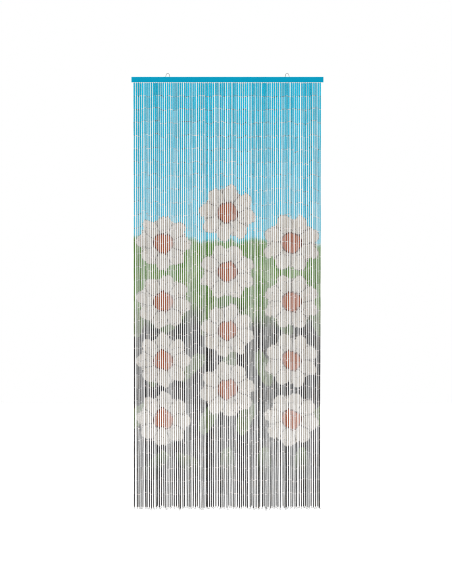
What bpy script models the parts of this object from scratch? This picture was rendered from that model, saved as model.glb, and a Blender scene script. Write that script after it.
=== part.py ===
"""Bamboo door curtain: strands of bamboo tube hung side by side from a painted wooden rail.

Metres, +Z up. The rail runs along X and its front faces -Y. The origin is midway between
the two hanging loops, on the line where their inner tops bear on the wall hooks.
"""

import math

import bmesh
import bpy
import numpy as np

# Head rail
RAIL_LENGTH = 0.900
RAIL_HEIGHT = 0.025
RAIL_DEPTH = 0.012
EDGE_ROUND = 0.0010
EDGE_ROUND_STEPS = 2

# Hanging loops: round wire bent over into an arch, its two splayed legs let into the rail's top
WIRE_RADIUS = 0.0008
LOOP_BEND_RADIUS = 0.0075
LOOP_RISE = 0.0167
LOOP_OFFSET = 0.280
LOOP_STEPS = 12
LEG_SPREAD = 0.0095
LEG_MOUTH = 0.0008
LEG_DEPTH = 0.0080
HOLE_SIDES = 12

# Strands
STRAND_COUNT = 90
FIRST_STRAND = 0.0130
TUBES_LENGTH = 1.9860
TUBE_WIDTH = 0.0050
TUBE_TAPER = 0.0015
TUBE_FLARE = 0.0015
FLARE_FALL = 8
BODY_STEPS = 6
SHOULDER = 0.0006
LINK_DROP = 0.0047
LINK_WIDTH = 0.0020
END_LOOP_DROP = 0.0100
END_LOOP_WIDTH = 0.0024
STRIP_HEIGHT = 0.0040

# How unevenly the strands hang
SWAY_SEED = 7
ROOT_SHIFT = 0.0005
LEAN = 0.0018
BOW = 0.0008
DEPTH_LEAN = 0.0015
END_SPREAD = 0.0034
END_LIMIT = 0.0090
GATHER = 0.006

# Clearance between pieces
GAP = 0.0003

# Heights that follow from the sizes above
RAIL_TOP = WIRE_RADIUS - LOOP_RISE
RAIL_BOTTOM = RAIL_TOP - RAIL_HEIGHT
STRIP_TOP = RAIL_BOTTOM + STRIP_HEIGHT
TUBES_TOP = RAIL_BOTTOM - LINK_DROP


def remove_all_objects():
    for old in list(bpy.data.objects):
        bpy.data.objects.remove(old, do_unlink=True)


def make_material(name, colour, roughness, metallic=0.0):
    material = bpy.data.materials.new(name)
    material.use_nodes = True
    shader = material.node_tree.nodes["Principled BSDF"]
    shader.inputs["Base Color"].default_value = (*colour, 1.0)
    shader.inputs["Roughness"].default_value = roughness
    shader.inputs["Metallic"].default_value = metallic
    return material


def add_object(name, data, material=None):
    made = bpy.data.objects.new(name, data)
    bpy.context.scene.collection.objects.link(made)
    if material:
        data.materials.append(material)
    return made


def mesh_from(name, shape):
    bmesh.ops.recalc_face_normals(shape, faces=shape.faces)
    mesh = bpy.data.meshes.new(name)
    shape.to_mesh(mesh)
    shape.free()
    return mesh


def make_guide(made):
    """Keeps a shape that only cuts or joins another out of the finished part."""
    made.hide_render = True
    made.display_type = "WIRE"


def add_boolean(made, operation, other):
    modifier = made.modifiers.new(operation.title(), "BOOLEAN")
    modifier.operation = operation
    modifier.solver = "EXACT"
    modifier.object = other


def bar_mesh(name, low, high, sawn):
    """A bar as long and deep as the rail, rounded but for the edges at the sawn height."""
    shape = bmesh.new()
    bmesh.ops.create_cube(shape, size=1.0)
    for vertex in shape.verts:
        vertex.co.x *= RAIL_LENGTH
        vertex.co.y *= RAIL_DEPTH
        vertex.co.z = high if vertex.co.z > 0 else low
    rounded = [
        edge
        for edge in shape.edges
        if any(abs(vertex.co.z - sawn) > EDGE_ROUND for vertex in edge.verts)
    ]
    bmesh.ops.bevel(
        shape,
        geom=rounded,
        offset=EDGE_ROUND,
        segments=EDGE_ROUND_STEPS,
        profile=0.5,
        affect="EDGES",
    )
    return mesh_from(name, shape)


def leg_positions():
    return [
        side * LOOP_OFFSET + leg * LEG_SPREAD for side in (-1, 1) for leg in (-1, 1)
    ]


def make_head_rail(material):
    """The rail above its lower strip, with a blind hole in its top for each leg of the loops."""
    low = STRIP_TOP + GAP
    rail = add_object("head_rail", bar_mesh("head_rail", low, RAIL_TOP, low), material)
    hole_radius = (WIRE_RADIUS + GAP) / math.cos(math.pi / HOLE_SIDES)
    drill = bmesh.new()
    for x in leg_positions():
        made = bmesh.ops.create_cone(
            drill,
            cap_ends=True,
            segments=HOLE_SIDES,
            radius1=hole_radius,
            radius2=hole_radius,
            depth=2 * LEG_DEPTH,
        )
        bmesh.ops.translate(drill, verts=made["verts"], vec=(x, 0.0, RAIL_TOP))
    cutter = add_object("leg_holes", mesh_from("leg_holes", drill))
    make_guide(cutter)
    add_boolean(rail, "DIFFERENCE", cutter)


def make_hanging_loop(name, middle, material):
    """A wire arch: an upright leg in its hole, a straight splayed side, the bend at the top
    that both sides run into smoothly, and the same down the other side."""
    leg_end = RAIL_TOP - LEG_DEPTH + GAP
    mouth = RAIL_TOP + LEG_MOUTH
    bend_middle = RAIL_TOP + LOOP_RISE - LOOP_BEND_RADIUS
    reach = math.hypot(LEG_SPREAD, bend_middle - mouth)
    slope = math.atan2(bend_middle - mouth, LEG_SPREAD)
    first = math.acos(LOOP_BEND_RADIUS / reach) - slope
    points = [(LEG_SPREAD, leg_end), (LEG_SPREAD, mouth)]
    for step in range(LOOP_STEPS + 1):
        angle = first + (math.pi - 2 * first) * step / LOOP_STEPS
        x = LOOP_BEND_RADIUS * math.cos(angle)
        points.append((x, bend_middle + LOOP_BEND_RADIUS * math.sin(angle)))
    points += [(-LEG_SPREAD, mouth), (-LEG_SPREAD, leg_end)]
    curve = bpy.data.curves.new(name, "CURVE")
    curve.dimensions = "3D"
    curve.bevel_depth = WIRE_RADIUS
    curve.bevel_resolution = 2
    curve.use_fill_caps = True
    spline = curve.splines.new("POLY")
    spline.points.add(len(points) - 1)
    for point, (x, z) in zip(spline.points, points):
        point.co = (middle + x, 0.0, z, 1.0)
    spline.use_smooth = True
    add_object(name, curve, material)


def strand_paths():
    """For each strand its middle (x, y) at a share of the way down, and how much longer it is.

    A strand starts beside its even place, leans to one side on its way down and bows a
    little between, and the whole row draws in slightly towards the bottom.
    """
    rng = np.random.default_rng(SWAY_SEED)
    half_row = RAIL_LENGTH / 2 - FIRST_STRAND
    even = np.linspace(-half_row, half_row, STRAND_COUNT)
    root = ROOT_SHIFT * rng.uniform(-1, 1, STRAND_COUNT)
    lean = LEAN * rng.uniform(-1, 1, STRAND_COUNT)
    bow = BOW * rng.uniform(-1, 1, STRAND_COUNT)
    depth = DEPTH_LEAN * rng.uniform(-1, 1, STRAND_COUNT)
    longer = rng.normal(0, END_SPREAD, STRAND_COUNT).clip(-END_LIMIT, END_LIMIT)

    def middle(strand, share):
        x = even[strand] * (1 - GATHER * share) + root[strand]
        x += lean[strand] * share + bow[strand] * math.sin(math.pi * share)
        return float(x), float(depth[strand] * share)

    return middle, longer


def strand_sections(longer):
    """The rings of one strand, top to bottom: share of the way down, height and width.

    Tubes have their plain width at the bottom. Upwards an even taper is added to it, and
    near the rail a flare as well.
    """
    length = TUBES_LENGTH + longer
    tubes_end = TUBES_TOP - length
    sections = [
        (0.0, RAIL_BOTTOM + STRIP_HEIGHT / 2, LINK_WIDTH),
        (0.0, TUBES_TOP, LINK_WIDTH),
    ]
    for step in range(BODY_STEPS + 1):
        share = step / BODY_STEPS
        height = TUBES_TOP - SHOULDER - share * (length - 2 * SHOULDER)
        width = TUBE_WIDTH + TUBE_TAPER * (1 - share)
        width += TUBE_FLARE * (1 - share) ** FLARE_FALL
        sections.append((share, height, width))
    sections.append((1.0, tubes_end, END_LOOP_WIDTH))
    sections.append((1.0, tubes_end - END_LOOP_DROP, END_LOOP_WIDTH))
    return sections


def make_strands(material):
    """The rail's lower strip with every strand joined to its underside."""
    middle, longer = strand_paths()
    shape = bmesh.new()
    for strand in range(STRAND_COUNT):
        rings = []
        for share, height, width in strand_sections(longer[strand]):
            x, y = middle(strand, share)
            half = width / 2
            corners = ((-half, -half), (half, -half), (half, half), (-half, half))
            rings.append([shape.verts.new((x + dx, y + dy, height)) for dx, dy in corners])
        for upper, lower in zip(rings, rings[1:]):
            for side in range(4):
                after = (side + 1) % 4
                shape.faces.new((upper[side], lower[side], lower[after], upper[after]))
        shape.faces.new(rings[0])
        shape.faces.new(reversed(rings[-1]))
    bundle = add_object("strand_bundle", mesh_from("strand_bundle", shape))
    make_guide(bundle)
    strip = bar_mesh("strands", RAIL_BOTTOM, STRIP_TOP, STRIP_TOP)
    add_boolean(add_object("strands", strip, material), "UNION", bundle)


def main():
    remove_all_objects()
    paint = make_material("blue_rail_paint", (0.01, 0.33, 0.55), 0.45)
    bamboo = make_material("printed_bamboo", (0.33, 0.50, 0.52), 0.55)
    steel = make_material("steel_wire", (0.55, 0.54, 0.52), 0.35, metallic=1.0)
    make_head_rail(paint)
    make_strands(bamboo)
    make_hanging_loop("hanging_loop_left", -LOOP_OFFSET, steel)
    make_hanging_loop("hanging_loop_right", LOOP_OFFSET, steel)


main()
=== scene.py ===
import math

import bpy
import numpy as np
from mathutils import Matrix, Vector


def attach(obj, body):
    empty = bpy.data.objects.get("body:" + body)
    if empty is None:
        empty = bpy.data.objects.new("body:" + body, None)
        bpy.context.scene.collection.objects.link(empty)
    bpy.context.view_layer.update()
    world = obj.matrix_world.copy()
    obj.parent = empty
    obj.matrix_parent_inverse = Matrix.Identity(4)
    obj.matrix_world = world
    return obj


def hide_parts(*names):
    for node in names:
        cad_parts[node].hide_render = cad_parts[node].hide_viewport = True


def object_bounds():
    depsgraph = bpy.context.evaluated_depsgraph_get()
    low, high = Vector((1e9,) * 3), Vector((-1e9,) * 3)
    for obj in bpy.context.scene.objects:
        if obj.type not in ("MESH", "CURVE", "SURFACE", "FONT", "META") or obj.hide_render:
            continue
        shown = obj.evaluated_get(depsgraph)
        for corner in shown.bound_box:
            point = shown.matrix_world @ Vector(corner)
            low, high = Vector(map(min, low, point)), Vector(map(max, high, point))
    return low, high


# Bamboo door curtain: printed tubes on wire links under a painted rail, hung by two wire loops.
# Metres. The printed front faces -Y; z is 0 where the hanging loops bear on the wall hooks.

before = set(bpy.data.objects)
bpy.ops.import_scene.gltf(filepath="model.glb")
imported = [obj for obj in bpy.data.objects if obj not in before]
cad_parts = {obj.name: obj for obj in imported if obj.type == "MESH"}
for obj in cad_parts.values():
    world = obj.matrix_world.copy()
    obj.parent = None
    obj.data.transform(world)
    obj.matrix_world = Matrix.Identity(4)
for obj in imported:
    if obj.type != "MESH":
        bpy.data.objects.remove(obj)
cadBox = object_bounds()
print("frame loaded:", ", ".join(sorted(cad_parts)))


def curtainColour(red, green, blue):
    # a screen colour 0-255 turned into the linear values that a shader takes
    screen = np.array([red, green, blue]) / 255
    linear = np.where(screen <= 0.04045, screen / 12.92, ((screen + 0.055) / 1.055) ** 2.4)
    return (*linear.tolist(), 1.0)


view = {
    "height": -1.0241,      # the photograph looks level at the middle of the curtain
    "across": -0.0068,
    "distance": 15.0,
    "tall": 2.738,          # metres of curtain that fill the frame from top to bottom
    "sensor": 36,
}

camera = bpy.data.objects.new("camera", bpy.data.cameras.new("camera"))
camera.data.sensor_width = view["sensor"]
camera.data.lens = view["sensor"] * view["distance"] / view["tall"]
camera.location = (view["across"], -view["distance"], view["height"])
camera.rotation_euler = (math.radians(90), 0, 0)
bpy.context.scene.collection.objects.link(camera)
bpy.context.scene.camera = camera

studio = {
    "backdrop": 1.0,        # how bright the white surround looks
    "surround": 0.75,       # how strongly it lights the curtain
    "key": 1.3,
    "keyFrom": (-30, 50),   # degrees round the curtain and above it
    "fill": 0.5,
    "fillFrom": (150, 50),
    "softness": 50,         # degrees that each soft light spans
    "floorDrop": 0.55,      # floor under the strands' ends
    "floorSize": 60.0,
    "floorColour": (0.95, 0.95, 0.95, 1),
    "floorRoughness": 0.9,
    "floorSheen": 0.1,
    "gamma": 0.78,          # the photograph mixes thin strands and bright gaps darker than light does
    "sharpness": 1.15,      # pixels that one point of the picture is spread over
}


def makeWorld():
    # the camera sees an even white surround, everything else gets the softer light
    world = bpy.data.worlds.new("white studio")
    bpy.context.scene.world = world
    world.use_nodes = True
    tree = world.node_tree
    tree.nodes.clear()
    seen = tree.nodes.new("ShaderNodeBackground")
    seen.inputs["Strength"].default_value = studio["backdrop"]
    lighting = tree.nodes.new("ShaderNodeBackground")
    lighting.inputs["Strength"].default_value = studio["surround"]
    for background in (seen, lighting):
        background.inputs["Color"].default_value = (1, 1, 1, 1)
    path = tree.nodes.new("ShaderNodeLightPath")
    mix = tree.nodes.new("ShaderNodeMixShader")
    out = tree.nodes.new("ShaderNodeOutputWorld")
    tree.links.new(path.outputs["Is Camera Ray"], mix.inputs["Fac"])
    tree.links.new(lighting.outputs[0], mix.inputs[1])
    tree.links.new(seen.outputs[0], mix.inputs[2])
    tree.links.new(mix.outputs[0], out.inputs["Surface"])


def addSoftLight(name, strength, azimuth, elevation):
    # a broad, distant light that shines in from an azimuth round the curtain and a height above it
    light = bpy.data.lights.new(name, "SUN")
    light.energy = strength
    light.angle = math.radians(studio["softness"])
    lamp = bpy.data.objects.new(name, light)
    lamp.rotation_euler = (math.radians(90 - elevation), 0, math.radians(azimuth))
    bpy.context.scene.collection.objects.link(lamp)


def makeFloor():
    # one flat square under the curtain
    half = studio["floorSize"] / 2
    height = cadBox[0][2] - studio["floorDrop"]
    corners = [(x, y, height) for x, y in ((-half, -half), (half, -half), (half, half), (-half, half))]
    mesh = bpy.data.meshes.new("studio floor")
    mesh.from_pydata(corners, [], [(0, 1, 2, 3)])
    floor = bpy.data.objects.new("studio_floor", mesh)
    bpy.context.scene.collection.objects.link(floor)
    matt = bpy.data.materials.new("pale floor")
    matt.use_nodes = True
    shader = matt.node_tree.nodes["Principled BSDF"]
    shader.inputs["Base Color"].default_value = studio["floorColour"]
    shader.inputs["Roughness"].default_value = studio["floorRoughness"]
    shader.inputs["Specular IOR Level"].default_value = studio["floorSheen"]
    mesh.materials.append(matt)


makeWorld()
addSoftLight("key light", studio["key"], *studio["keyFrom"])
addSoftLight("fill light", studio["fill"], *studio["fillFrom"])
makeFloor()
bpy.context.scene.view_settings.view_transform = "Standard"
bpy.context.scene.view_settings.gamma = studio["gamma"]
bpy.context.scene.cycles.filter_width = studio["sharpness"]
print("camera, light and floor are set")


def gridFaces(count, rings, sides, closed):
    # the face at ring r and side s joins ring r to r + 1 and side s to s + 1, the last side to
    # the first; closed also joins the last ring to the first; the same for each of count grids
    last = rings if closed else rings - 1
    item, ring, side = np.meshgrid(np.arange(count), np.arange(last), np.arange(sides), indexing="ij")
    nextRing = (ring + 1) % rings
    nextSide = (side + 1) % sides
    start = item * rings * sides
    corners = [start + r * sides + s
               for r, s in ((ring, side), (nextRing, side), (nextRing, nextSide), (ring, nextSide))]
    return np.stack(corners, axis=-1).reshape(-1, 4)


def gridPlan(item, columns, rows, ringHeights, sides):
    # the plan of the faces of gridFaces on a square: each item has one cell of columns x rows,
    # its sides run across the cell and its rings up it, at ringHeights from 0 to 1
    heights = np.asarray(ringHeights)
    item, ring, side = np.meshgrid(item, np.arange(heights.size - 1), np.arange(sides), indexing="ij")
    corners = []
    for r, s in ((ring, side), (ring + 1, side), (ring + 1, side + 1), (ring, side + 1)):
        u = (item % columns + s / sides) / columns
        v = 1 - (item // columns + heights[r]) / rows
        corners.append(np.stack([u, v], axis=-1))
    return np.stack(corners, axis=-2).reshape(-1, 2)


def endCaps(count, rings, sides):
    # flat strips of four-cornered faces that close the first and last ring of each open grid
    half = np.arange(sides // 2 - 1)
    strip = np.stack([half, half + 1, sides - 2 - half, sides - 1 - half], axis=-1)
    first = np.arange(count)[:, None, None] * rings * sides + strip
    last = first + (rings - 1) * sides
    return np.concatenate([first.reshape(-1, 4), last[..., ::-1].reshape(-1, 4)])


def capPlan(count, columns, rows, sides, heights):
    # the plan of the faces of endCaps: a row of small squares between two heights of each cell
    perCap = sides // 2 - 1
    near, far = 0.1, 0.9
    end, item, strip = np.meshgrid(np.arange(2), np.arange(count), np.arange(perCap), indexing="ij")
    corners = []
    for du, dv in ((near, near), (far, near), (far, far), (near, far)):
        u = (item % columns + (end * perCap + strip + du) / (2 * perCap)) / columns
        v = 1 - (item // columns + heights[0] + (heights[1] - heights[0]) * dv) / rows
        corners.append(np.stack([u, v], axis=-1))
    return np.stack(corners, axis=-2).reshape(-1, 2)


def addPiece(name, points, faces, material, plan, values=None):
    # puts whole arrays of points and four-cornered faces into a mesh, with a plan of its surface
    # and a value for each point under each name in values
    mesh = bpy.data.meshes.new(name)
    mesh.vertices.add(len(points))
    mesh.vertices.foreach_set("co", points.astype(np.float32).ravel())
    mesh.loops.add(faces.size)
    mesh.loops.foreach_set("vertex_index", faces.astype(np.int32).ravel())
    mesh.polygons.add(len(faces))
    mesh.polygons.foreach_set("loop_start", np.arange(0, faces.size, 4, dtype=np.int32))
    mesh.polygons.foreach_set("use_smooth", np.full(len(faces), True))
    mesh.update(calc_edges=True)
    layer = mesh.uv_layers.new(name="OFBake")
    layer.uv.foreach_set("vector", plan.astype(np.float32).ravel())
    for valueName, value in (values or {}).items():
        attribute = mesh.attributes.new(valueName, "FLOAT", "POINT")
        attribute.data.foreach_set("value", value.astype(np.float32).ravel())
    mesh.materials.append(material)
    piece = bpy.data.objects.new(name, mesh)
    bpy.context.scene.collection.objects.link(piece)
    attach(piece, "root")
    return piece


def sharpenRings(piece, rings, sides, sharp):
    # an edge keeps its crease where both its points lie on one and the same sharp ring
    edges = np.empty(len(piece.data.edges) * 2, dtype=np.int32)
    piece.data.edges.foreach_get("vertices", edges)
    ring = (edges.reshape(-1, 2) // sides) % rings
    item = edges.reshape(-1, 2) // (sides * rings)
    crease = (ring[:, 0] == ring[:, 1]) & (item[:, 0] == item[:, 1]) & np.isin(ring[:, 0], sharp)
    piece.data.edges.foreach_set("use_edge_sharp", crease)


def wireAlong(across, height, radius, sides):
    # round wire along flat paths: at each point the wire's ring stands square to the path,
    # radius x cos(turn) in the path's own plane and radius x sin(turn) out of it
    # across and height have one row per wire; the result is (wire, point, side, 3) as
    # (across, out of the plane, height)
    alongAcross = np.gradient(across, axis=-1)
    alongHeight = np.gradient(height, axis=-1)
    length = np.hypot(alongAcross, alongHeight)
    turn = 2 * math.pi * np.arange(sides) / sides
    outward = radius * np.cos(turn)
    ringAcross = across[..., None] + (alongHeight / length)[..., None] * outward
    ringHeight = height[..., None] - (alongAcross / length)[..., None] * outward
    ringOut = np.broadcast_to(-radius * np.sin(turn), ringAcross.shape)
    return np.stack([ringAcross, ringOut, ringHeight], axis=-1)


# as in the part's source, but for 1 mm less between rail and tubes
row = {
    "strands": 90,
    "railLength": 0.900,
    "railBottom": -0.0409,
    "firstStrand": 0.013,       # in from the rail's end
    "linkDrop": 0.0037,         # from the rail down to the first tubes
    "tubesLength": 1.987,
    "seed": 7,
    "rootShift": 0.0005,
    "lean": 0.0018,
    "bow": 0.0008,
    "depthLean": 0.0015,
    "endSpread": 0.0034,
    "endLimit": 0.009,
    "gather": 0.006,
}

tubes = {
    "perStrand": 32,
    "gap": 0.0008,              # between two tubes, where the wire eyes show
    "width": 0.0050,            # at the bottom
    "taper": 0.0015,            # added evenly towards the top
    "flare": 0.0015,            # added near the rail
    "flareFall": 8,
    "widthSpread": 0.07,
    "lengthSpread": 0.0030,
    "oddLength": 0.0040,        # a few tubes are that much longer or shorter
    "oddShare": 0.06,
    "slip": 0.5,                # share of their uneven heights that shows in the print
    "sway": 0.0004,             # how far a joint hangs off its strand's line
    "swayFull": 0.125,          # share of the way down from which it does so in full
    "crowding": 0.0004,         # how far each strand hangs out of the even row
    "drift": 0.0012,            # and how far it does so together with its neighbours
    "together": 7,              # strands that drift alike
    "least": 0.0004,            # left between two tubes that crowd
    "pushes": 60,               # rounds of making room
    "sides": 8,
    "bore": 0.56,               # share of a tube's radius
    "chamfer": 0.00035,         # of the cut edge, along the tube
    "chamferIn": 0.7,           # and across it, as a share of that
    "cone": 0.02,               # one end is that share wider, at most
    "oval": 0.03,
    "swelling": 0.035,          # thickest at the node of the cane
    "noSwelling": -0.3,         # some nodes are pinched by that share of it instead
    "nodeAt": (0.25, 0.75),     # share of a tube's length
    "planHeights": [0.02, 0.04, 0.5, 0.9, 0.92, 0.95, 0.98, 1.0],   # most of a cell is the outside
    "blocks": 9,                # pieces that the strands are joined into
    "seed": 21,
}


def hangStrands():
    # a strand's middle at a share of the way down is its even place, drawn in by gather x share,
    # plus lean x share, plus bow x sin(pi x share); its depth is depthLean x share; then it is moved
    # aside by its own crowding and a drift, the sum of its neighbours' luck over their number's root
    rng = np.random.default_rng(row["seed"])
    count = row["strands"]
    half = row["railLength"] / 2 - row["firstStrand"]
    even = np.linspace(-half, half, count)
    root = row["rootShift"] * rng.uniform(-1, 1, count)
    lean = row["lean"] * rng.uniform(-1, 1, count)
    bow = row["bow"] * rng.uniform(-1, 1, count)
    depth = row["depthLean"] * rng.uniform(-1, 1, count)
    longer = rng.normal(0, row["endSpread"], count).clip(-row["endLimit"], row["endLimit"])

    # joint heights: even steps down the strand, with tube lengths that wander but add up; each is
    # off by the sum of three draws, shared with the next strands, over the root of 3
    rng = np.random.default_rng(tubes["seed"])
    steps = np.arange(tubes["perStrand"] + 1) / tubes["perStrand"]
    wander = rng.normal(0, tubes["lengthSpread"], (count, tubes["perStrand"]))
    wander = (wander + np.roll(wander, 1, axis=0) + np.roll(wander, 2, axis=0)) / math.sqrt(3)
    odd = rng.uniform(0, 1, wander.shape) < tubes["oddShare"]
    wander += odd * tubes["oddLength"] * rng.choice([-1, 1], wander.shape)
    wander -= wander.mean(axis=1, keepdims=True)
    wander = np.concatenate([np.zeros((count, 1)), wander.cumsum(axis=1)], axis=1)
    top = row["railBottom"] - row["linkDrop"] + tubes["gap"] / 2
    length = (row["tubesLength"] + longer + tubes["gap"])[:, None]
    z = top - length * steps - wander
    share = (top - z) / length
    sway = tubes["sway"] * rng.uniform(-1, 1, (2, *share.shape))
    sway = sway * np.minimum(1, share / tubes["swayFull"])
    x = even[:, None] * (1 - row["gather"] * share) + root[:, None] + lean[:, None] * share
    x += bow[:, None] * np.sin(math.pi * share) + sway[0]
    y = depth[:, None] * share + sway[1]
    evenZ = top - (row["tubesLength"] + tubes["gap"]) * steps
    slip = tubes["slip"] * (z - evenZ)

    # tubes are the wider the nearer the rail; crowded strands push each other until they clear
    toGo = 1 - (share[:, :-1] + share[:, 1:]) / 2
    width = tubes["width"] + tubes["taper"] * toGo + tubes["flare"] * toGo ** tubes["flareFall"]
    radius = width / 2 * (1 + tubes["widthSpread"] * rng.uniform(-1, 1, width.shape))
    reach = np.maximum(
        np.concatenate([radius[:, :1], radius], axis=1),
        np.concatenate([radius, radius[:, -1:]], axis=1),
    )
    x += tubes["crowding"] * rng.normal(0, 1, (count, 1))
    together = np.full(tubes["together"], 1 / math.sqrt(tubes["together"]))
    x += tubes["drift"] * np.convolve(rng.normal(0, 1, count), together, mode="same")[:, None]
    for _ in range(tubes["pushes"]):
        short = (reach[1:] + reach[:-1] + tubes["least"] - np.diff(x, axis=0)).clip(0, None) / 2
        x[:-1] -= short
        x[1:] += short
    return {"x": x, "y": y, "z": z, "slip": slip, "radius": radius}


hang = hangStrands()


def makeTubes(material):
    # a tube is radius x (1 + oval x cos(2 turn)) x (cos turn, sin turn) round the line between two
    # joints, carried down the outside, in over the cut end, up the bore and out over the other end
    rng = np.random.default_rng(tubes["seed"] + 1)
    shape = (row["strands"], tubes["perStrand"])
    upper = {axis: hang[axis][:, :-1] for axis in "xyz"}
    lower = {axis: hang[axis][:, 1:] for axis in "xyz"}
    top = upper["z"] - tubes["gap"] / 2
    length = top - lower["z"] - tubes["gap"] / 2
    radius = hang["radius"]
    cone = tubes["cone"] * rng.uniform(-1, 1, shape)
    node = rng.uniform(*tubes["nodeAt"], shape)
    swelling = tubes["swelling"] * rng.uniform(tubes["noSwelling"], 1, shape)
    oval = tubes["oval"] * rng.uniform(0, 1, shape)
    turn = rng.uniform(0, 2 * math.pi, shape)
    cut = tubes["chamfer"]
    cutIn = tubes["chamferIn"] * cut
    start = np.zeros(shape)
    downs = np.stack([start, start + cut, node * length, length - cut, length, length, start], axis=-1)
    first = radius * (1 - cone)
    last = radius * (1 + cone)
    inner = tubes["bore"] * radius
    radii = np.stack(
        [first - cutIn, first, radius * (1 + swelling), last, last - cutIn, inner, inner], axis=-1)
    angles = turn[..., None] + 2 * math.pi * np.arange(tubes["sides"]) / tubes["sides"]
    ovals = 1 + oval[..., None] * np.cos(2 * angles)
    rings = downs.shape[-1]

    # the line between the joints, at each ring's height
    spans = upper["z"] - lower["z"]
    along = (tubes["gap"] / 2 + downs) / spans[..., None]
    middleX = upper["x"][..., None] + (lower["x"] - upper["x"])[..., None] * along
    middleY = upper["y"][..., None] + (lower["y"] - upper["y"])[..., None] * along
    points = np.empty((*shape, rings, tubes["sides"], 3))
    points[..., 0] = middleX[..., None] + radii[..., None] * (np.cos(angles) * ovals)[..., None, :]
    points[..., 1] = middleY[..., None] + radii[..., None] * (np.sin(angles) * ovals)[..., None, :]
    points[..., 2] = (top[..., None] - downs)[..., None]

    # for each point: -1 to 1 along its tube, the luck of its tube and its strand, the slip of its
    # tube in the print, and how much it faces the front
    values = {
        "along": (2 * downs / length[..., None] - 1)[..., None],
        "tone": rng.uniform(0, 1, shape)[..., None, None],
        "strandTone": rng.uniform(0, 1, (row["strands"], 1))[..., None, None],
        "slip": (hang["slip"][:, :-1] + hang["slip"][:, 1:])[..., None, None] / 2,
        "facing": -np.sin(angles)[..., None, :],
    }
    values = {key: np.broadcast_to(value, points.shape[:-1]) for key, value in values.items()}
    perBlock = row["strands"] // tubes["blocks"]
    for block in range(tubes["blocks"]):
        chosen = slice(block * perBlock, (block + 1) * perBlock)
        count = perBlock * tubes["perStrand"]
        strand, tube = np.divmod(np.arange(count), tubes["perStrand"])
        cell = tube * perBlock + strand
        piece = addPiece(
            f"bamboo_tubes_{block + 1}",
            points[chosen].reshape(-1, 3),
            gridFaces(count, rings, tubes["sides"], closed=True),
            material,
            plan=gridPlan(cell, perBlock, tubes["perStrand"], tubes["planHeights"], tubes["sides"]),
            values={key: value[chosen].reshape(-1) for key, value in values.items()},
        )
        sharpenRings(piece, rings, tubes["sides"], sharp=[0, 1, 3, 4, 5, 6])
        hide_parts("strands")
    print("tubes:", row["strands"] * tubes["perStrand"])


wirePlan = {
    "wall": (0.02, 0.93),       # share of a cell of the plan that a wire's length takes
    "caps": (0.95, 1.0),
}


def addWires(name, points, material, columns):
    # a piece of round wires with points as (wire, ring, side, 3) and their cells in columns
    count, rings, sides = points.shape[:3]
    rows = math.ceil(count / columns)
    faces = gridFaces(count, rings, sides, closed=False)
    caps = endCaps(count, rings, sides)
    plan = gridPlan(np.arange(count), columns, rows, np.linspace(*wirePlan["wall"], rings), sides)
    ends = capPlan(count, columns, rows, sides, wirePlan["caps"])
    return addPiece(
        name, points.reshape(-1, 3), np.concatenate([faces, caps]), material,
        plan=np.concatenate([plan, ends]),
    )


links = {
    "wire": 0.00048,            # radius
    "eye": 0.00085,             # radius of an eye to the middle of its wire
    "recess": 0.00082,          # how far an eye starts inside the tube
    "sides": 4,
    "steps": 6,
    "turns": 300,               # degrees that an eye is bent round
    "twist": 20,                # degrees that a link stands off its quarter turn
    "pieces": 3,
    "seed": 31,
}


def eyePaths(chosen, side):
    # the eyes at the upper (side 1) or lower (side -1) joint of the chosen tubes of every strand:
    # eye x (cos turn, sin turn) about a point that is recess inside the tube and eye nearer the joint
    joint = hang["z"][:, :-1] if side > 0 else hang["z"][:, 1:]
    middle = joint[:, chosen] - side * (tubes["gap"] / 2 + links["recess"] - links["eye"])
    turns = np.radians(np.linspace(links["turns"], 0, links["steps"] + 1)) - math.pi / 2
    across = np.broadcast_to(links["eye"] * np.cos(turns), (*middle.shape, turns.size))
    height = middle[..., None] + side * links["eye"] * np.sin(turns)
    return (across, height) if side > 0 else (across[..., ::-1], height[..., ::-1])


def hangWires(local, angle, chosen):
    # each wire turned by its angle about its tube's line, which runs from joint to joint
    angle = angle[..., None, None]
    upper = {axis: hang[axis][:, :-1][:, chosen, None, None] for axis in "xyz"}
    lower = {axis: hang[axis][:, 1:][:, chosen, None, None] for axis in "xyz"}
    along = ((upper["z"] - local[..., 2]) / (upper["z"] - lower["z"])).clip(0, 1)
    points = np.empty(local.shape)
    points[..., 0] = upper["x"] + (lower["x"] - upper["x"]) * along
    points[..., 0] += local[..., 0] * np.cos(angle) - local[..., 1] * np.sin(angle)
    points[..., 1] = upper["y"] + (lower["y"] - upper["y"]) * along
    points[..., 1] += local[..., 0] * np.sin(angle) + local[..., 1] * np.cos(angle)
    points[..., 2] = local[..., 2]
    return points


def makeLinks(material):
    # a wire runs through each tube but the last and is bent into an eye at both ends, a quarter
    # turn on from tube to tube; the eyes of two tubes pass through each other
    rng = np.random.default_rng(links["seed"])
    chosen = np.arange(tubes["perStrand"] - 1)
    paths = [np.concatenate(pair, axis=-1) for pair in zip(eyePaths(chosen, 1), eyePaths(chosen, -1))]
    local = wireAlong(*paths, links["wire"], links["sides"])
    shape = (row["strands"], chosen.size)
    angle = math.pi / 2 * (1 + chosen % 2) + math.radians(links["twist"]) * rng.uniform(-1, 1, shape)
    points = hangWires(local, angle, chosen)
    for number, block in enumerate(np.split(points, links["pieces"])):
        block = block.reshape(-1, *points.shape[2:])
        addWires(f"tube_links_{number + 1}", block, material, columns=40)
    print("links:", angle.size)


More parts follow.
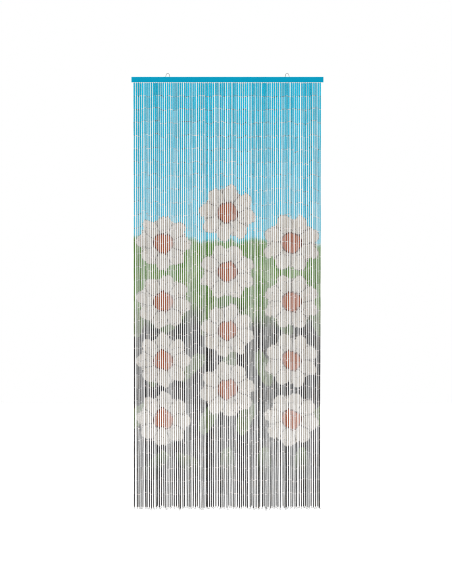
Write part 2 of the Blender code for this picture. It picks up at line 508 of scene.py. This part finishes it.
endWires = {
    "wire": 0.00068,            # radius, as it is doubled and twisted there
    "drop": 0.0098,             # how far a free eye hangs below its tube, at most
    "dropSpread": 0.30,
    "halfWidth": 0.0034,
    "widthSpread": 0.30,
    "belly": 1.3,
    "round": 325,               # degrees that the wire goes round
    "turn": 35,                 # degrees that an eye stands off the front
    "lean": 0.50,               # sideways for its length, at most
    "sides": 6,
    "steps": 18,
    "seed": 37,
}


def makeEndWires(material):
    # the wire of each last tube ends in a free drop-shaped eye: going round by turn it is
    # belly x halfWidth x sin(turn) x sin(turn / 2) to the side and drop x (1 - cos(turn)) / 2 down
    rng = np.random.default_rng(endWires["seed"])
    chosen = np.array([tubes["perStrand"] - 1])
    shape = (row["strands"], 1)
    drop = endWires["drop"] * (1 - endWires["dropSpread"] * rng.uniform(0, 1, shape))[..., None]
    wide = endWires["halfWidth"] * (1 - endWires["widthSpread"] * rng.uniform(0, 1, shape))[..., None]
    wide = wide * rng.choice([-1, 1], shape)[..., None]
    turns = np.radians(np.linspace(0, endWires["round"], endWires["steps"] + 1))
    tubeEnd = (hang["z"][:, -1:] + tubes["gap"] / 2)[..., None]
    across, height = eyePaths(chosen, 1)
    across = np.concatenate(
        [across, endWires["belly"] * wide * np.sin(turns) * np.sin(turns / 2)], axis=-1)
    height = np.concatenate([height, tubeEnd - drop * (1 - np.cos(turns)) / 2], axis=-1)
    local = wireAlong(across, height, endWires["wire"], endWires["sides"])
    angle = math.radians(endWires["turn"]) * rng.uniform(-1, 1, shape)
    points = hangWires(local, angle, chosen)
    below = (tubeEnd[..., None] - points[..., 2]).clip(0, None)
    points[..., 0] += endWires["lean"] * rng.uniform(-1, 1, shape)[..., None, None] * below
    addWires("end_wires", points[:, 0], material, columns=10)
    print("end wires:", row["strands"])


staples = {
    "half": 0.0013,             # half the width between its legs
    "rise": 0.003,              # how far its legs go up into the rail
    "steps": 5,
}


def makeStaples(material):
    # a staple is a half ring of half x (cos turn, sin turn) with two upright legs
    turns = np.pi * np.linspace(0, 1, staples["steps"])
    eyeTop = row["railBottom"] - row["linkDrop"] - links["recess"] + 2 * links["eye"]
    bottom = eyeTop - 2 * links["wire"]
    across = staples["half"] * np.concatenate([[1], np.cos(turns), [-1]])
    drop = bottom + staples["half"] * (1 - np.sin(turns))
    legTop = row["railBottom"] + staples["rise"]
    height = np.concatenate([[legTop], drop, [legTop]])
    local = wireAlong(across[None], height[None], links["wire"], links["sides"])
    points = np.repeat(local, row["strands"], axis=0)
    points[..., 0] += hang["x"][:, 0, None, None]
    points[..., 1] += hang["y"][:, 0, None, None]
    addWires("rail_staples", points, material, columns=10)
    print("staples:", row["strands"])


rail = {
    "length": row["railLength"],
    "depth": 0.012,
    "height": 0.025,
    "corner": 0.0012,           # rounding of the long edges
    "endRound": 0.0009,
    "cornerSteps": 5,
    "stepsAlong": 60,
    "planWall": (0.02, 0.93),   # where the plan of its length starts, and its share of the plan
    "planCaps": (0.965, 1.0),
}


def makeRail(material):
    # a rounded rectangle in Y and Z carried along X, drawn in by a quarter circle at both ends
    turns = np.linspace(math.pi / 2, 0, rail["cornerSteps"])
    inset = rail["endRound"] * (1 - np.cos(turns))
    reach = rail["endRound"] * (1 - np.sin(turns))
    half = rail["length"] / 2
    straight = half - rail["endRound"]
    middle = np.linspace(-straight, straight, rail["stepsAlong"] + 1)[1:-1]
    x = np.concatenate([-half + reach, middle, half - reach[::-1]])
    inset = np.concatenate([inset, np.zeros(middle.size), inset[::-1]])
    quarter = np.linspace(0, math.pi / 2, rail["cornerSteps"])
    turn = np.concatenate([quarter + corner * math.pi / 2 for corner in range(4)])
    outY = np.repeat([1, -1, -1, 1], rail["cornerSteps"])
    outZ = np.repeat([1, 1, -1, -1], rail["cornerSteps"])
    radius = rail["corner"] - inset[:, None]
    flatY = rail["depth"] / 2 - rail["corner"]
    flatZ = rail["height"] / 2 - rail["corner"]
    points = np.empty((x.size, turn.size, 3))
    points[..., 0] = x[:, None]
    points[..., 1] = outY * flatY + radius * np.cos(turn)
    points[..., 2] = row["railBottom"] + rail["height"] / 2 + outZ * flatZ + radius * np.sin(turn)
    faces = gridFaces(1, x.size, turn.size, closed=False)
    caps = endCaps(1, x.size, turn.size)
    start, share = rail["planWall"]
    plan = gridPlan(np.arange(1), 1, 1, start + share * (x + half) / (2 * half), turn.size)
    ends = capPlan(1, 1, 1, turn.size, rail["planCaps"])
    piece = addPiece(
        "painted_head_rail", points.reshape(-1, 3), np.concatenate([faces, caps]), material,
        plan=np.concatenate([plan, ends]),
    )
    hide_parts("head_rail")
    print("head rail:", len(faces), "faces")


hanger = {
    "wire": 0.0008,             # radius
    "bend": 0.0075,             # radius of the round top
    "rise": 0.0167,             # its highest line above the rail's top
    "offset": 0.280,            # from the middle of the rail
    "spread": 0.0095,           # from a loop's middle to its leg
    "mouth": 0.0008,            # where a leg leaves the upright
    "legDepth": 0.0077,
    "sides": 12,
    "steps": 28,
}


def makeHangers(material):
    # two upright legs, straight splayed sides, and between them bend x (cos turn, sin turn),
    # which the sides run into smoothly
    railTop = row["railBottom"] + rail["height"]
    mouth = railTop + hanger["mouth"]
    middle = railTop + hanger["rise"] - hanger["bend"]
    reach = math.hypot(hanger["spread"], middle - mouth)
    slope = math.atan2(middle - mouth, hanger["spread"])
    first = math.acos(hanger["bend"] / reach) - slope
    turns = np.linspace(first, math.pi - first, hanger["steps"])
    legX = np.full(2, hanger["spread"])
    legZ = np.array([railTop - hanger["legDepth"], mouth])
    across = np.concatenate([legX, hanger["bend"] * np.cos(turns), -legX])
    height = np.concatenate([legZ, middle + hanger["bend"] * np.sin(turns), legZ[::-1]])
    local = wireAlong(across[None], height[None], hanger["wire"], hanger["sides"])
    for side, place in (("left", -1), ("right", 1)):
        points = local + np.array([place * hanger["offset"], 0, 0])
        piece = addWires(f"hanging_wire_{side}", points, material, columns=1)
        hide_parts(f"hanging_loop_{side}")
    print("hanging wires: 2")


# the functions below build shader trees; a value is a number, a colour or another node's socket

def feed(tree, value, socket):
    # a socket takes a link from another node's socket, or a plain value
    if isinstance(value, bpy.types.NodeSocket):
        tree.links.new(value, socket)
    else:
        socket.default_value = value


def addNode(tree, kind, inputs=None, **settings):
    # one node with its settings, and its inputs as {name or number: value}
    node = tree.nodes.new("ShaderNode" + kind)
    for key, value in settings.items():
        setattr(node, key, value)
    for key, value in (inputs or {}).items():
        feed(tree, value, node.inputs[key])
    return node


def calc(tree, operation, *values):
    # one step of arithmetic
    node = addNode(tree, "Math", operation=operation)
    for value, socket in zip(values, node.inputs):
        feed(tree, value, socket)
    return node.outputs[0]


def rise(tree, value, low, high):
    # 0 below low, 1 above high and a smooth step between
    inputs = {"Value": value, "From Min": low, "From Max": high}
    return addNode(tree, "MapRange", inputs, interpolation_type="SMOOTHSTEP").outputs[0]


def times(tree, *values):
    # the product of all the values
    product = values[0]
    for value in values[1:]:
        product = calc(tree, "MULTIPLY", product, value)
    return product


def blend(tree, factor, first, second):
    # the first colour x (1 - factor) plus the second x factor
    node = addNode(tree, "Mix", data_type="RGBA")
    feed(tree, factor, node.inputs[0])
    feed(tree, first, node.inputs[6])
    feed(tree, second, node.inputs[7])
    return node.outputs[2]


def startGroup(name, inputs, outputs):
    # a node group with its sockets: inputs and outputs are {name: (kind, value)}
    group = bpy.data.node_groups.new(name, "ShaderNodeTree")
    for direction, sockets in (("INPUT", inputs), ("OUTPUT", outputs)):
        for socketName, (kind, value) in sockets.items():
            socket = group.interface.new_socket(
                socketName, in_out=direction, socket_type="NodeSocket" + kind)
            if value is not None:
                socket.default_value = value
    given = group.nodes.new("NodeGroupInput").outputs
    out = group.nodes.new("NodeGroupOutput").inputs
    return group, given, out


def placeGroup(tree, group, **values):
    # a group in a material, with its own values
    node = tree.nodes.new("ShaderNodeGroup")
    node.node_tree = group
    for key, value in values.items():
        feed(tree, value, node.inputs[key])
    return node.outputs


def startMaterial(name):
    # a material, its node tree and the shader that comes with it
    material = bpy.data.materials.new(name)
    material.use_nodes = True
    tree = material.node_tree
    return material, tree, tree.nodes["Principled BSDF"]


def finishSurface(tree, shader, marks, finish):
    # roughness is a first value x streaks + a second, and the streaks stand up as a fine relief
    roughness = calc(tree, "MULTIPLY_ADD", marks["Streaks"], *finish["roughness"])
    feed(tree, roughness, shader.inputs["Roughness"])
    strength, distance = finish["relief"]
    relief = {"Strength": strength, "Distance": distance, "Height": marks["Streaks"]}
    feed(tree, addNode(tree, "Bump", relief).outputs["Normal"], shader.inputs["Normal"])


grainMarks = {
    "streakDetail": 3.0,
    "streakRoughness": 0.6,
    "cloudScale": 24.0,
    "cloudDetail": 2.0,
    "contrast": (0.3, 0.7),
}


def makeGrainGroup():
    # fine long streaks and broad clouds, from noise squeezed along the piece by Squeeze
    group, given, out = startGroup(
        "grain",
        {"Squeeze": ("Vector", (1, 1, 0.04)), "Fineness": ("Float", 900.0), "Shift": ("Float", 0.0)},
        {"Streaks": ("Float", None), "Clouds": ("Float", None)},
    )
    place = addNode(group, "TexCoord").outputs["Object"]
    squeezed = addNode(group, "VectorMath", {0: place, 1: given["Squeeze"]}, operation="MULTIPLY")
    looks = {
        "Streaks": {
            "Vector": squeezed.outputs[0], "W": given["Shift"], "Scale": given["Fineness"],
            "Detail": grainMarks["streakDetail"], "Roughness": grainMarks["streakRoughness"],
        },
        "Clouds": {
            "Vector": place, "W": given["Shift"], "Scale": grainMarks["cloudScale"],
            "Detail": grainMarks["cloudDetail"],
        },
    }
    for look, inputs in looks.items():
        noise = addNode(group, "TexNoise", inputs, noise_dimensions="4D").outputs["Fac"]
        feed(group, rise(group, noise, *grainMarks["contrast"]), out[look])
    return group


design = {
    "columns": 0.300,           # between columns of blossoms; every other one drops half a row
    "rows": 0.276,
    "firstRow": -0.655,
    "rowCount": 4,
    "size": 0.137,              # radius of a blossom
    "sizes": (0.94, 0.08),      # share of it that every blossom has, and what luck adds
    "luckTurn": 2.0,
    "petals": 8,
    "frontPetals": (0.5, 0.46, 0.52),   # power of the wave, its height and the reach between petals
    "backPetals": (0.6, 0.34, 0.48),
    "petalLine": 0.045,
    "outline": 0.018,
    "streaks": (9.0, 2.2, 2.0),     # fine lines across and along a petal, and their detail
    "streakEdge": (0.35, 0.7),
    "shadeFall": (1.0, 0.2),    # from a petal's tip, where it starts, to the heart
    "heart": 0.34,              # radius of the orange heart, as a share of the blossom's
    "heartRim": 0.022,
    "leafAcross": 0.170,
    "leafDown": 0.230,
    "leafLong": 0.088,
    "leafWide": 0.034,
    "leafTilt": 1.0,            # radians to either side, at most
    "midrib": 0.0016,
}


def repeatCell(tree, value, step):
    # the number of the cell that a value falls in and its distance from that cell's middle
    number = calc(tree, "ROUND", calc(tree, "DIVIDE", value, step))
    return number, calc(tree, "SUBTRACT", value, times(tree, number, step))


def cellLuck(tree, column, rowNumber):
    # a random value for each cell, always the same
    cell = addNode(tree, "CombineXYZ", {"X": column, "Y": rowNumber}).outputs[0]
    return addNode(tree, "TexWhiteNoise", {"Vector": cell}, noise_dimensions="2D").outputs["Value"]


def noiseAt(tree, place, scale, detail):
    # noise from 0 to 1 at a place of {"X": across, "Y": upright}
    at = addNode(tree, "CombineXYZ", place).outputs[0]
    return addNode(tree, "TexNoise", {"Vector": at, "Scale": scale, "Detail": detail}).outputs["Fac"]


def makeBlossomGroup():
    # blossoms in a half-drop row pattern. In each one's own cell, with r and turn about its
    # middle, the front petals reach least + height x |cos(petals x turn / 2)| ^ power and the back
    # petals, half a petal round, a little less; the heart is a plain disc with a dark rim
    group, given, out = startGroup(
        "half-drop blossoms",
        {"Across": ("Float", 0.0), "Height": ("Float", 0.0)},
        {"Petals": ("Float", None), "Shade": ("Float", None), "Lines": ("Float", None),
         "Heart": ("Float", None), "Rim": ("Float", None)},
    )
    column, dx = repeatCell(group, given["Across"], design["columns"])
    drop = times(group, calc(group, "PINGPONG", column, 1.0), design["rows"] / 2)
    fromFirst = calc(group, "ADD", calc(group, "SUBTRACT", given["Height"], design["firstRow"]), drop)
    rowNumber, dz = repeatCell(group, fromFirst, design["rows"])
    middleRow = -(design["rowCount"] - 1) / 2
    inRows = calc(group, "COMPARE", rowNumber, middleRow, design["rowCount"] / 2)
    chance = cellLuck(group, column, rowNumber)
    least, luck = design["sizes"]
    size = calc(group, "MULTIPLY_ADD", chance, luck * design["size"], least * design["size"])
    squares = calc(group, "ADD", times(group, dx, dx), times(group, dz, dz))
    r = calc(group, "DIVIDE", calc(group, "SQRT", squares), size)
    turn = calc(group, "ADD", calc(group, "ARCTAN2", dz, dx), times(group, chance, design["luckTurn"]))
    petalTurn = times(group, turn, design["petals"] / 2)

    def petalReach(wave, power, height, between):
        return calc(group, "MULTIPLY_ADD", calc(group, "POWER", wave, power), height, between)

    def nearTo(value, line, width):
        away = calc(group, "ABSOLUTE", calc(group, "SUBTRACT", value, line))
        return calc(group, "LESS_THAN", away, width)

    front = calc(group, "ABSOLUTE", calc(group, "COSINE", petalTurn))
    back = calc(group, "ABSOLUTE", calc(group, "SINE", petalTurn))
    frontReach = petalReach(front, *design["frontPetals"])
    backReach = petalReach(back, *design["backPetals"])
    petals = calc(group, "MAXIMUM", calc(group, "LESS_THAN", r, frontReach),
                  calc(group, "LESS_THAN", r, backReach))
    line = calc(group, "LESS_THAN", times(group, front, r), design["petalLine"])
    lines = times(group, calc(group, "MAXIMUM", line, nearTo(frontReach, r, design["outline"])), petals)
    heart = calc(group, "LESS_THAN", r, design["heart"])
    rim = nearTo(r, design["heart"], design["heartRim"])
    across, along, detail = design["streaks"]
    spread = {"X": times(group, turn, across), "Y": r, "Z": chance}
    streaks = noiseAt(group, spread, along, detail)
    shade = rise(group, r, *design["shadeFall"])
    shade = times(group, shade, rise(group, streaks, *design["streakEdge"]))
    feed(group, shade, out["Shade"])
    for name, mask in (("Petals", petals), ("Lines", lines), ("Heart", heart), ("Rim", rim)):
        feed(group, times(group, mask, inRows), out[name])
    return group


def makeLeafGroup():
    # one leaf in each cell of a brick pattern: an oval (u / wide)^2 + (v / long)^2 < 1, tilted to
    # the left or right by the cell's chance, with a thin midrib
    group, given, out = startGroup(
        "scattered leaves",
        {"Across": ("Float", 0.0), "Height": ("Float", 0.0)},
        {"Leaf": ("Float", None), "Rib": ("Float", None)},
    )
    rowNumber, dz = repeatCell(group, given["Height"], design["leafDown"])
    shift = times(group, calc(group, "PINGPONG", rowNumber, 1.0), design["leafAcross"] / 2)
    column, dx = repeatCell(group, calc(group, "ADD", given["Across"], shift), design["leafAcross"])
    chance = cellLuck(group, column, rowNumber)
    tilt = calc(group, "MULTIPLY_ADD", chance, 2 * design["leafTilt"], -design["leafTilt"])
    place = addNode(group, "CombineXYZ", {"X": dx, "Y": dz}).outputs[0]
    turned = addNode(group, "VectorRotate", {"Vector": place, "Angle": tilt}, rotation_type="Z_AXIS")
    local = addNode(group, "SeparateXYZ", {0: turned.outputs[0]}).outputs
    u = calc(group, "DIVIDE", local["X"], design["leafWide"])
    v = calc(group, "DIVIDE", local["Y"], design["leafLong"])
    oval = calc(group, "ADD", times(group, u, u), times(group, v, v))
    inside = calc(group, "LESS_THAN", oval, 1.0)
    rib = calc(group, "LESS_THAN", calc(group, "ABSOLUTE", local["X"]), design["midrib"])
    feed(group, inside, out["Leaf"])
    feed(group, times(group, inside, rib), out["Rib"])
    return group


bamboo = {
    "heights": [-0.04, -0.30, -0.60, -0.77, -0.79, -1.08, -1.19, -1.55, -2.05],
    "ground": [(30, 186, 211), (56, 182, 205), (82, 183, 205), (104, 189, 207), (92, 136, 58),
               (92, 128, 58), (34, 36, 33), (32, 33, 32), (52, 52, 51)],
    "waves": 0.09,              # metres that the ground's colours rise and fall
    "waveNoise": (1.0, 0.5, 9.0, 2.0),      # squeezed across and upright, scale and detail
    "patch": (26, 27, 26),
    "patchFrom": (-1.0, -1.2),
    "patchNoise": (2.2, 1.0, 11.0, 3.0),
    "patchEdge": (0.4, 0.62),
    "patchStrength": 0.6,
    "leaf": (150, 172, 124),
    "leafFrom": (-0.84, -0.94),
    "leafTo": (-1.90, -1.74),
    "leafStrength": 0.42,
    "ribStrength": 0.4,
    "petal": (189, 184, 176),
    "petalShade": (154, 150, 143),
    "shadeStrength": 0.8,
    "line": (66, 66, 66),
    "lineStrength": 0.75,
    "heart": (158, 88, 50),
    "heartRim": (96, 56, 42),
    "lightness": (0.84, 0.10, 0.22),    # of every tube, what a tube's and a strand's luck add
    "streaks": (0.18, 0.89),            # how far the cane's streaks vary it, and its least
    "cane": (206, 176, 128),
    "caneStreak": (160, 124, 78),
    "cloudEdge": (0.55, 1.0),
    "thinInClouds": 0.10,       # cane that shows through where the paint is thin
    "behindFrom": (0.1, -0.7),  # how much a point faces the front, 1 is straight
    "thinBehind": 0.14,
    "cutFrom": (0.95, 0.965),   # where a tube's coloured ends start, 1 is its end
    "cutEnd": (226, 204, 196),
    "bareAbove": 0.80,          # tubes with more luck than that have bare ends
    "bareStrength": 0.9,
    # dark cut ends are painted shade, standing in for the shadow in the gaps at the joints
    "jointShade": (48, 42, 40),
    "jointShadeBelow": 0.36,
    "jointShadeStrength": 0.8,
    "endShuffle": 7.0,          # makes an end's luck out of its tube's tone
    "unshadedUnderRail": 0.02,     # metres under the rail in which no end gets the painted shade
    "grain": {"Squeeze": (1, 1, 0.05), "Fineness": 1400.0},
    "grainShift": 60.0,         # how far apart the grain of two tubes is taken
    "roughness": (0.2, 0.42),   # what the streaks add, and its least
    "relief": (0.35, 0.0002),
    "sheen": 0.25,
}


def makePrintedBamboo(grain):
    # the picture is laid on by place across and height, each tube a little off; every tube takes
    # the paint its own way, bare cane shows where it is thin and at some of the cut ends, and
    # painted shade darkens other cut ends for the shadow at the joints
    material, tree, shader = startMaterial("printed bamboo")
    place = addNode(tree, "SeparateXYZ", {0: addNode(tree, "TexCoord").outputs["Object"]}).outputs
    read = {name: addNode(tree, "Attribute", attribute_name=name).outputs["Fac"]
            for name in ("along", "tone", "strandTone", "slip", "facing")}
    height = calc(tree, "SUBTRACT", place["Z"], read["slip"])

    def uneven(name):
        across, upright, scale, detail = bamboo[name]
        at = {"X": times(tree, place["X"], across), "Y": times(tree, height, upright)}
        return noiseAt(tree, at, scale, detail)

    def paintOver(colour, mask, strength, name):
        return blend(tree, times(tree, mask, strength), colour, curtainColour(*bamboo[name]))

    # the soft ground from sky down to earth, a little uneven across the curtain
    low, high = bamboo["heights"][-1], bamboo["heights"][0]
    waves = uneven("waveNoise")
    waving = calc(tree, "ADD", height, times(tree, calc(tree, "SUBTRACT", waves, 0.5), bamboo["waves"]))
    position = addNode(tree, "MapRange", {"Value": waving, "From Min": low, "From Max": high})
    ramp = addNode(tree, "ValToRGB", {"Fac": position.outputs[0]})
    stops = ramp.color_ramp.elements
    for stop, colour in reversed(list(zip(bamboo["heights"], bamboo["ground"]))):
        share = (stop - low) / (high - low)
        element = stops[0] if stop == low else stops[-1] if stop == high else stops.new(share)
        element.position = share
        element.color = curtainColour(*colour)
    dark = rise(tree, height, *bamboo["patchFrom"])
    dark = times(tree, dark, rise(tree, uneven("patchNoise"), *bamboo["patchEdge"]))
    colour = paintOver(ramp.outputs["Color"], dark, bamboo["patchStrength"], "patch")

    # leaves, then blossoms over them
    leaves = placeGroup(tree, makeLeafGroup(), Across=place["X"], Height=height)
    fadeIn = rise(tree, height, *bamboo["leafFrom"])
    onGround = times(tree, fadeIn, rise(tree, height, *bamboo["leafTo"]))
    colour = paintOver(colour, times(tree, leaves["Leaf"], onGround), bamboo["leafStrength"], "leaf")
    colour = paintOver(colour, times(tree, leaves["Rib"], onGround), bamboo["ribStrength"], "line")
    blossoms = placeGroup(tree, makeBlossomGroup(), Across=place["X"], Height=height)
    petal = curtainColour(*bamboo["petal"])
    petal = paintOver(petal, blossoms["Shade"], bamboo["shadeStrength"], "petalShade")
    colour = blend(tree, blossoms["Petals"], colour, petal)
    colour = paintOver(colour, blossoms["Lines"], bamboo["lineStrength"], "line")
    colour = blend(tree, blossoms["Heart"], colour, curtainColour(*bamboo["heart"]))
    colour = blend(tree, blossoms["Rim"], colour, curtainColour(*bamboo["heartRim"]))

    # every tube takes the paint its own way, and the cane's streaks show through it
    shift = times(tree, read["tone"], bamboo["grainShift"])
    marks = placeGroup(tree, grain, Shift=shift, **bamboo["grain"])
    least, byTube, byStrand = bamboo["lightness"]
    tone = calc(tree, "MULTIPLY_ADD", read["tone"], byTube, least)
    tone = calc(tree, "ADD", tone, times(tree, read["strandTone"], byStrand))
    tone = times(tree, tone, calc(tree, "MULTIPLY_ADD", marks["Streaks"], *bamboo["streaks"]))
    colour = addNode(tree, "HueSaturation", {"Color": colour, "Value": tone}).outputs["Color"]
    cane = curtainColour(*bamboo["cane"])
    cane = blend(tree, marks["Streaks"], cane, curtainColour(*bamboo["caneStreak"]))
    cloudy = times(tree, rise(tree, marks["Clouds"], *bamboo["cloudEdge"]), bamboo["thinInClouds"])
    behind = times(tree, rise(tree, read["facing"], *bamboo["behindFrom"]), bamboo["thinBehind"])
    colour = blend(tree, calc(tree, "ADD", cloudy, behind), colour, cane)

    # at the cut ends some tubes are bare, and others are darkened with painted shade for the shadow in
    # the gap between two tubes
    ends = rise(tree, calc(tree, "ABSOLUTE", read["along"]), *bamboo["cutFrom"])
    endLuck = calc(tree, "FRACT", times(tree, read["tone"], bamboo["endShuffle"]))
    bare = times(tree, ends, calc(tree, "GREATER_THAN", endLuck, bamboo["bareAbove"]))
    colour = paintOver(colour, bare, bamboo["bareStrength"], "cutEnd")
    belowRail = calc(tree, "LESS_THAN", place["Z"], row["railBottom"] - bamboo["unshadedUnderRail"])
    shadedEnds = times(tree, ends, calc(tree, "LESS_THAN", endLuck, bamboo["jointShadeBelow"]), belowRail)
    colour = paintOver(colour, shadedEnds, bamboo["jointShadeStrength"], "jointShade")
    feed(tree, colour, shader.inputs["Base Color"])
    finishSurface(tree, shader, marks, bamboo)
    shader.inputs["Specular IOR Level"].default_value = bamboo["sheen"]
    return material


paint = {
    "colour": (0, 169, 198),
    "deep": (0, 152, 183),
    "streakStrength": 0.5,
    "cloudStrength": 0.2,
    "wood": (196, 160, 112),
    "wornStrength": 0.5,
    "wornAcross": (0.0050, 0.0058),     # metres from the rail's middle, as the next two
    "wornUp": (0.0115, 0.0123),
    "wornAlong": (0.4485, 0.4498),
    "wornEdge": (0.5, 0.9),
    "grain": {"Squeeze": (0.03, 1, 1), "Fineness": 700.0},
    "roughness": (0.15, 0.40),
    "relief": (0.25, 0.0003),
    "sheen": 0.12,
}


def makeRailPaint(grain):
    # satin paint over planed wood: the grain shows through as fine ridges along the rail, and the
    # paint is thin in places on the long edges and at both ends
    material, tree, shader = startMaterial("rail paint")
    place = addNode(tree, "SeparateXYZ", {0: addNode(tree, "TexCoord").outputs["Object"]}).outputs
    marks = placeGroup(tree, grain, **paint["grain"])
    deep = curtainColour(*paint["deep"])
    colour = blend(tree, times(tree, marks["Streaks"], paint["streakStrength"]),
                   curtainColour(*paint["colour"]), deep)
    colour = blend(tree, times(tree, marks["Clouds"], paint["cloudStrength"]), colour, deep)
    up = calc(tree, "ABSOLUTE", calc(tree, "ADD", place["Z"], -row["railBottom"] - rail["height"] / 2))
    across = calc(tree, "ABSOLUTE", place["Y"])
    alongEdge = times(tree, rise(tree, across, *paint["wornAcross"]), rise(tree, up, *paint["wornUp"]))
    atEnd = rise(tree, calc(tree, "ABSOLUTE", place["X"]), *paint["wornAlong"])
    bare = rise(tree, marks["Streaks"], *paint["wornEdge"])
    worn = times(tree, calc(tree, "MAXIMUM", alongEdge, atEnd), bare, paint["wornStrength"])
    colour = blend(tree, worn, colour, curtainColour(*paint["wood"]))
    feed(tree, colour, shader.inputs["Base Color"])
    finishSurface(tree, shader, marks, paint)
    shader.inputs["Specular IOR Level"].default_value = paint["sheen"]
    return material


steel = {
    "colour": (138, 136, 133),
    "dull": (106, 104, 101),
    "grain": {"Squeeze": (1, 1, 1), "Fineness": 1800.0},
    "roughness": (0.25, 0.28),
    "relief": (0.2, 0.0001),
}


def makeSteelWire(grain):
    # drawn wire: fine marks along it, dulled in places
    material, tree, shader = startMaterial("steel wire")
    marks = placeGroup(tree, grain, **steel["grain"])
    bright = curtainColour(*steel["colour"])
    colour = blend(tree, marks["Clouds"], bright, curtainColour(*steel["dull"]))
    feed(tree, colour, shader.inputs["Base Color"])
    finishSurface(tree, shader, marks, steel)
    shader.inputs["Metallic"].default_value = 1.0
    return material


grain = makeGrainGroup()
printedBamboo = makePrintedBamboo(grain)
railPaint = makeRailPaint(grain)
steelWire = makeSteelWire(grain)
print("materials: 3")

makeTubes(printedBamboo)
makeLinks(steelWire)
makeEndWires(steelWire)
makeStaples(steelWire)
makeRail(railPaint)
makeHangers(steelWire)
